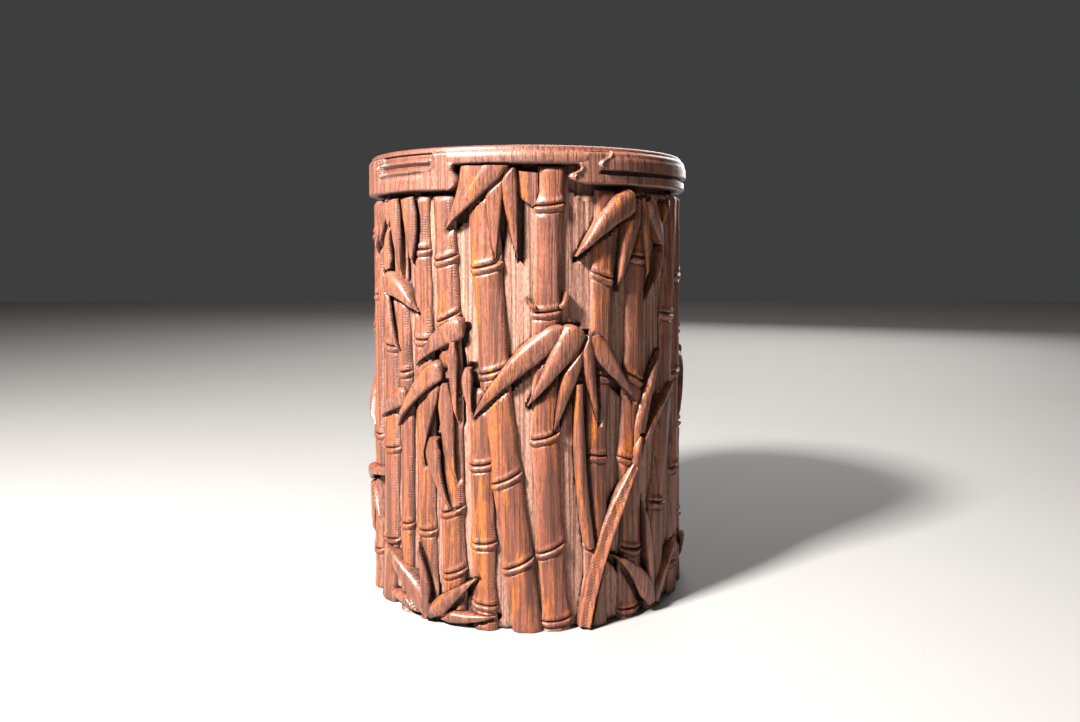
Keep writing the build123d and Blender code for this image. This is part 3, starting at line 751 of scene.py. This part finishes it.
class Nodes:
    """Short way to write a shader's node graph."""

    def __init__(self, name):
        self.material = bpy.data.materials.new(name)
        self.material.use_nodes = True
        self.tree = self.material.node_tree
        self.tree.nodes.clear()
        self.shader = self.make("ShaderNodeBsdfPrincipled")
        output = self.make("ShaderNodeOutputMaterial")
        self.tree.links.new(self.shader.outputs[0], output.inputs["Surface"])

    def make(self, kind, **settings):
        node = self.tree.nodes.new(kind)
        for key, value in settings.items():
            setattr(node, key, value)
        return node

    def link(self, source, target):
        if hasattr(source, "is_output"):
            self.tree.links.new(source, target)
        else:
            target.default_value = source

    def surface(self, **inputs):
        """Set or link inputs of the shader, written with _ for the spaces in their names."""
        for name, source in inputs.items():
            self.link(source, self.shader.inputs[name.replace("_", " ")])

    def math(self, operation, first, second=0.0, third=0.0, clamp=False):
        node = self.make("ShaderNodeMath", operation=operation, use_clamp=clamp)
        for socket, value in zip(node.inputs, (first, second, third)):
            self.link(value, socket)
        return node.outputs[0]

    def vector(self, operation, first, second=(0, 0, 0), scale=None):
        node = self.make("ShaderNodeVectorMath", operation=operation)
        self.link(first, node.inputs[0])
        self.link(second, node.inputs[1])
        if scale is not None:
            self.link(scale, node.inputs["Scale"])
        return node.outputs["Value" if operation in ("DOT_PRODUCT", "LENGTH") else "Vector"]

    def ramp(self, value, low, high, to_low=0.0, to_high=1.0):
        node = self.make("ShaderNodeMapRange", interpolation_type="SMOOTHSTEP")
        for socket, entry in zip(node.inputs, (value, low, high, to_low, to_high)):
            self.link(entry, socket)
        return node.outputs[0]

    def noise(self, vector, scale, detail=2.0, roughness=0.5, distortion=0.0):
        node = self.make("ShaderNodeTexNoise")
        self.link(vector, node.inputs["Vector"])
        node.inputs["Scale"].default_value = scale
        node.inputs["Detail"].default_value = detail
        node.inputs["Roughness"].default_value = roughness
        node.inputs["Distortion"].default_value = distortion
        return node.outputs[0]

    def cells(self, vector, scale):
        node = self.make("ShaderNodeTexVoronoi")
        self.link(vector, node.inputs["Vector"])
        node.inputs["Scale"].default_value = scale
        return node.outputs["Distance"]

    def mix(self, share, first, second):
        """Colour between two, each a socket or a plain (red, green, blue)."""
        node = self.make("ShaderNodeMix", data_type="RGBA", blend_type="MIX", clamp_factor=True)
        self.link(share, node.inputs["Factor"])
        for socket, value in ((node.inputs["A"], first), (node.inputs["B"], second)):
            self.link(value if hasattr(value, "is_output") else (*value, 1.0), socket)
        return node.outputs["Result"]

    def place_mm(self):
        return self.vector("SCALE", self.make("ShaderNodeTexCoord").outputs["Object"], scale=1.0 / MM)

    def bump(self, height, strength):
        node = self.make("ShaderNodeBump")
        self.link(strength, node.inputs["Strength"])
        self.link(BUMP_DEPTH * MM, node.inputs["Distance"])
        self.link(height, node.inputs["Height"])
        self.surface(Normal=node.outputs[0])


class CulmNodes(Nodes):
    """A shader that knows its height, its depth over the ground and how far a face is turned to the right."""

    def __init__(self, name):
        super().__init__(name)
        self.place = self.place_mm()
        split = self.make("ShaderNodeSeparateXYZ")
        self.link(self.place, split.inputs[0])
        x, y, self.height = split.outputs
        flat = self.make("ShaderNodeCombineXYZ")
        self.link(x, flat.inputs[0])
        self.link(y, flat.inputs[1])
        self.flat = flat.outputs[0]
        outside = self.math("SUBTRACT", self.vector("LENGTH", self.flat), GROUND_FOOT)
        self.depth = self.math("ADD", outside, self.math("MULTIPLY", self.height, TAPER))
        self.normal = self.make("ShaderNodeNewGeometry").outputs["Normal"]
        sideways = self.vector("CROSS_PRODUCT", UP, self.vector("NORMALIZE", self.flat))
        self.turned = self.vector("DOT_PRODUCT", sideways, self.normal)

    def lengthwise(self, stretch):
        """The place with its height scaled down, so that a texture there runs along the fibres."""
        spread = self.math("MULTIPLY_ADD", self.height, TAPER / GROUND_FOOT, 1.0)
        straight = self.vector("SCALE", self.flat, scale=spread)
        height = self.make("ShaderNodeCombineXYZ")
        self.link(self.math("MULTIPLY", self.height, stretch), height.inputs[2])
        return self.vector("ADD", straight, height.outputs[0])


def times(share, colour):
    return tuple(share * channel for channel in colour)


def culm_marks(n):
    """Cut fibres as fine lines and dark bundles, ticks on faces turned to the right, and painted shade in the
    hollows.
    """
    sway = n.math("MULTIPLY", n.noise(n.place, 0.33), 16.0)
    tick = n.math("SINE", n.math("MULTIPLY_ADD", n.height, 2 * pi / TICK_PITCH, sway))
    off_face = n.math("MULTIPLY", n.ramp(n.turned, 0.25, 0.55), n.ramp(n.depth, 0.2, 0.8))
    off_face = n.math("MULTIPLY", off_face, n.ramp(n.noise(n.place, 0.11), 0.42, 0.52))
    # Painted shade: the closer the walls round a point, the darker it is painted
    shade = n.make("ShaderNodeAmbientOcclusion", samples=6)
    shade.inputs["Distance"].default_value = SHADE_REACH * MM
    return {
        "speckle": n.ramp(n.noise(n.lengthwise(0.3), 2.6, 2.0, 0.6), 0.62, 0.38),
        "line": n.ramp(n.noise(n.lengthwise(0.02), 1.05), 0.50, 0.40),
        "bundle": n.ramp(n.cells(n.lengthwise(0.16), 0.9), 0.10, 0.28, 1.0, 0.0),
        "tick": n.math("MULTIPLY", n.ramp(tick, 0.1, 0.8), off_face),
        "hollow_shade": n.ramp(shade.outputs["AO"], 0.74, 0.25),
    }


def culm_wood(n, skin, wood, ground, raised):
    """Wood with duller stretches and patches of skin, a painted sheen paler towards the top and on faces not
    turned to the left, painted light that strengthens the skin on faces turned to the left, and the tone of
    the ground.
    """
    coarse = n.noise(n.lengthwise(0.02), 0.36)
    streak = n.noise(n.lengthwise(0.07), 0.42, 3.0, 0.65)
    mottle = n.noise(n.place, 0.085)
    dull = n.ramp(n.math("MULTIPLY_ADD", coarse, 0.6, n.math("MULTIPLY", mottle, 0.4)), 0.40, 0.60)
    colour = n.mix(dull, wood, times(0.45, wood))
    # Painted sheen and painted light: paler towards the top and on faces that are not turned to the left
    painted_sheen = n.math("MULTIPLY", n.ramp(n.height, 20.0, 115.0, 0.05, 0.42), n.ramp(n.turned, -0.5, 0.0))
    colour = n.mix(painted_sheen, colour, PAINTED_SHEEN_TONE)
    # Patches of amber skin, painted twice as strong on faces turned to the left, towards the key lamp, as on
    # faces turned right: partly the skin, partly painted light
    skin_and_lit_side = n.math("MULTIPLY", n.ramp(streak, 0.47, 0.57), n.ramp(mottle, 0.38, 0.60, 0.35, 1.0))
    skin_and_lit_side = n.math("MULTIPLY", skin_and_lit_side, n.ramp(n.turned, 0.25, -0.25, 0.5, 1.0))
    colour = n.mix(skin_and_lit_side, colour, skin)
    sunk = n.mix(n.ramp(coarse, 0.35, 0.65), ground, times(1.3, ground))
    return n.mix(raised, sunk, colour)


def culm_relief(n, marks):
    """Fine relief of the marks and of the cut surface, fainter on faces that look up or down."""
    relief = 1.0
    for mark, depth in MARK_DEPTHS.items():
        relief = n.math("MULTIPLY_ADD", marks[mark], depth, relief)
    relief = n.math("MULTIPLY_ADD", n.noise(n.place, 0.9), 0.7, relief)
    upward = n.math("ABSOLUTE", n.vector("DOT_PRODUCT", UP, n.normal))
    n.bump(relief, n.ramp(upward, 0.35, 0.8, 0.5, 0.08))


def culm_material(name, skin, wood, ground, roughness, polish, levels=(0.6, 1.9)):
    """Carved bamboo: ground tones up to the lower level over the ground, wood and skin past the upper one."""
    n = CulmNodes(name)
    raised = n.ramp(n.depth, *levels)
    colour = culm_wood(n, skin, wood, ground, raised)
    marks = culm_marks(n)
    for mark, (cover, tone) in MARK_TONES.items():
        colour = n.mix(n.math("MULTIPLY", marks[mark], cover), colour, tone)
    rough = n.math("MULTIPLY_ADD", n.math("SUBTRACT", 1.0, raised), 0.10, roughness)
    rough = n.math("MULTIPLY_ADD", marks["line"], 0.14, rough)
    rough = n.math("MULTIPLY_ADD", marks["hollow_shade"], 0.25, rough, clamp=True)
    n.surface(Base_Color=colour, Roughness=rough, Specular_IOR_Level=0.45)
    n.surface(Coat_Weight=polish, Coat_Roughness=0.3)
    culm_relief(n, marks)
    return n.material


def board_material(name, light, dark):
    """Flat bamboo board: straight grain with small pores, oiled."""
    n = Nodes(name)
    place_mm = n.place_mm()
    grain = n.noise(n.vector("MULTIPLY", place_mm, (0.06, 1.0, 1.0)), 0.9, 4.0, 0.6, 0.4)
    pores = n.ramp(n.cells(n.vector("MULTIPLY", place_mm, (0.25, 1.0, 1.0)), 1.1), 0.1, 0.28, 1.0, 0.0)
    colour = n.mix(n.ramp(grain, 0.3, 0.7), dark, light)
    colour = n.mix(n.math("MULTIPLY", pores, 0.5), colour, times(0.4, dark))
    n.surface(Base_Color=colour, Roughness=n.ramp(grain, 0.2, 0.8, 0.5, 0.64))
    n.bump(n.math("SUBTRACT", grain, pores), 0.3)
    return n.material


STALK_WOOD = culm_material(
    "stalk_bamboo", skin=(0.44, 0.120, 0.014), wood=(0.25, 0.070, 0.034), ground=(0.28, 0.130, 0.085),
    roughness=0.41, polish=0.22,
)
LEAF_WOOD = culm_material(
    "leaf_bamboo", skin=(0.40, 0.120, 0.020), wood=(0.29, 0.095, 0.052), ground=(0.28, 0.130, 0.085),
    roughness=0.38, polish=0.35,
)
# The rim's dark ground tone is painted shade: it darkens all that lies less than 2.7 mm over the ground, such
# as the sunk panels
RIM_WOOD = culm_material(
    "rim_bamboo", skin=(0.30, 0.110, 0.060), wood=(0.33, 0.145, 0.100), ground=(0.15, 0.050, 0.026),
    roughness=0.37, polish=0.6, levels=(2.7, 3.4),
)
GROUND_WOOD = culm_material(
    "ground_bamboo", skin=(0.33, 0.130, 0.055), wood=(0.30, 0.145, 0.098), ground=(0.31, 0.160, 0.112),
    roughness=0.5, polish=0.1,
)
BOARD = board_material("floor_bamboo", light=(0.40, 0.25, 0.14), dark=(0.27, 0.155, 0.085))
PLUG = board_material("plug_bamboo", light=(0.46, 0.30, 0.17), dark=(0.33, 0.20, 0.11))


# ---------------------------------------------------------------- pieces

def band_floor(u):
    """Lower edge of the rim at each place round the culm, and how far down the cut below it reaches."""
    angle = np.degrees(u / LAYOUT_RADIUS)
    level = np.full(u.shape, BAND_BOTTOM)
    recess = np.full(u.shape, 2.9)
    for centre, bottom, reach in LAPPETS:
        under = angle_apart(angle, centre) < LAPPET_HALF + 0.8 * reach
        level = np.where(under, bottom, level)
        recess = np.where(under, 2.0, recess)
    notch = smooth(15.0, 20.5, angle) * smooth(31.0, 27.0, angle)
    return level, recess + 2.1 * notch


def wall_outside(turn):
    """The sunk ground: shallow upright gouge marks, with pockets under the blades and under the rim."""
    z = np.concatenate([[0.0, 0.35, 0.8], np.linspace(1.6, 136, 122), np.linspace(136.7, 148.5, 18)])
    u, level = np.meshgrid(to_u(turn), z)
    d = 0.10 * np.sin(u * 1.9 + 0.8 * np.sin(level * 0.05)) + wobble(u, 5, 0.09, 9.0)
    d = d - GROUND_POCKET * blade_hollow(u, level, ALL_BLADES)
    lowest, recess = band_floor(u)
    d = d - BAND_POCKET * smooth(recess, recess - 0.9, lowest - level)
    d = np.where(level < 1.0, d - (1.0 - level) * 0.5, d)
    return wrap(u, level, np.minimum(d, 0.12))


def wall_inside(turn):
    """The well, from under the rim down to the floor board, and the seat round the board."""
    angle = np.radians(turn)
    well = [(BORE, level) for level in (147.0, 120.0, 80.0, 40.0, FLOOR_TOP)]
    seat = [(FLOOR_SEAT, FLOOR_TOP), (FLOOR_SEAT, 0.8), (FLOOR_SEAT + 0.8, 0.0)]
    return np.array([
        np.stack([np.sin(angle) * radius, -np.cos(angle) * radius, np.full(angle.shape, level)], -1) * MM
        for radius, level in [(50.0, 148.9), (46.0, 148.9)] + well + seat
    ])


def make_wall():
    turn = np.linspace(-180, 180, 560, endpoint=False)
    loops = np.concatenate([wall_outside(turn), wall_inside(turn)]).transpose(1, 0, 2)
    piece = grid_mesh("culm_wall", [loops], GROUND_WOOD, turned=(0,))
    return place(piece, "culm_ground", "wall")


def make_rim():
    band = rolled_profile(rounded_outline(BAND_PROFILE, cuts=2), steps=480, seed=11)
    lappets = [
        lappet_grid(centre, bottom, reach, fret)
        for (centre, bottom, reach), fret in zip(LAPPETS, (fret_left, fret_right, fret_far))
    ]
    piece = grid_mesh("rim_scroll", [band, *lappets], RIM_WOOD, turned=(0,))
    return place(piece, "rim_bamboo", "rim_band")


def make_stalk(name, half_width, course, joints):
    layers = [stalk_grid(name, half_width, course, joints)]
    layers += [blade_grid(bud, kind) for bud, kind in BUDS.get(name, ())]
    piece = grid_mesh(f"carved_{name}", layers, STALK_WOOD)
    return place(piece, "stalk_bamboo", name)


def make_spray(name, blades):
    layers = []
    for number, blade in enumerate(blades):
        over = [] if blade[4] else [entry for entry in UPPER_BLADES if entry[0] is not blade]
        layers.append(blade_grid(blade, root_kind(name, number), over, seed=number + len(name)))
    piece = grid_mesh(f"carved_{name}", layers, LEAF_WOOD, smooth_angle=48.0)
    return place(piece, "leaf_bamboo", name)


def paint_floor(name, material):
    """The floor board and its plug keep their CAD shape and take a wood of their own."""
    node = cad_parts[name]
    node.data.materials.clear()
    node.data.materials.append(material)


make_wall()
make_rim()
for stalk_name, (stalk_half, stalk_course, stalk_joints) in STALK_ROWS.items():
    make_stalk(stalk_name, stalk_half, stalk_course, stalk_joints)
for spray_name, spray_blades in (SPRAY_ROWS | STEMS).items():
    make_spray(spray_name, spray_blades)
paint_floor("floor_board", BOARD)
paint_floor("floor_plug", PLUG)


# ---------------------------------------------------------------- floor, light, camera

# The studio floor: half its side, and how far it lies below the foot, in metres
STUDIO_HALF = 1.6
STUDIO_DROP = 0.0002
# Each lamp: place in metres, side of its square face, power and colour
LAMPS = {
    "key": ((-0.37, -0.37, 0.56), 0.10, 27.0, (1.0, 0.96, 0.93)),
    "fill": ((0.75, -0.60, 0.30), 0.7, 0.35, (1.0, 0.95, 0.92)),
    "top": ((0.0, 0.20, 0.95), 0.7, 0.8, (1.0, 1.0, 1.0)),
    "back": ((0.3, 0.85, 0.5), 0.7, 6.0, (1.0, 0.98, 0.95)),
}
# Faint light from all round
SKY = (0.80, 0.80, 0.82, 1)
SKY_STRENGTH = 0.06
# The camera: place in metres, tilt in degrees from looking straight down, lens and sensor in millimetres
CAMERA_PLACE = (0.00469, -0.32528, 0.12044)
CAMERA_TILT = 82.66
FOCAL_LENGTH = 30.0
SENSOR_WIDTH = 36.0


def link_object(name, data):
    thing = bpy.data.objects.new(name, data)
    bpy.context.scene.collection.objects.link(thing)
    return thing


def make_studio_floor():
    mesh = bpy.data.meshes.new("studio_floor")
    square = ((-1, -1), (1, -1), (1, 1), (-1, 1))
    corners = [(x * STUDIO_HALF, y * STUDIO_HALF, -STUDIO_DROP) for x, y in square]
    mesh.from_pydata(corners, [], [(0, 1, 2, 3)])
    n = Nodes("pale_floor")
    tone = n.noise(n.make("ShaderNodeTexCoord").outputs["Object"], 6.0)
    n.surface(Base_Color=n.mix(tone, (0.27, 0.267, 0.26), (0.30, 0.297, 0.29)), Roughness=0.7)
    mesh.materials.append(n.material)
    link_object("studio_floor", mesh)


def make_lamp(name, position, size, power, colour):
    lamp = bpy.data.lights.new(name, "AREA")
    lamp.size = size
    lamp.energy = power
    lamp.color = colour
    light = link_object(name, lamp)
    light.location = position
    aim = Vector((0, 0, HEIGHT * MM / 2)) - Vector(position)
    light.rotation_euler = aim.to_track_quat("-Z", "Y").to_euler()


def make_sky():
    world = bpy.data.worlds.new("studio")
    world.use_nodes = True
    background = world.node_tree.nodes["Background"]
    background.inputs["Color"].default_value = SKY
    background.inputs["Strength"].default_value = SKY_STRENGTH
    bpy.context.scene.world = world
    bpy.context.scene.view_settings.view_transform = "Standard"


def make_camera():
    lens = bpy.data.cameras.new("camera")
    lens.lens = FOCAL_LENGTH
    lens.sensor_width = SENSOR_WIDTH
    camera = link_object("camera", lens)
    camera.location = CAMERA_PLACE
    camera.rotation_euler = (radians(CAMERA_TILT), 0, 0)
    bpy.context.scene.camera = camera


make_studio_floor()
for lamp_name, settings in LAMPS.items():
    make_lamp(lamp_name, *settings)
make_sky()
make_camera()
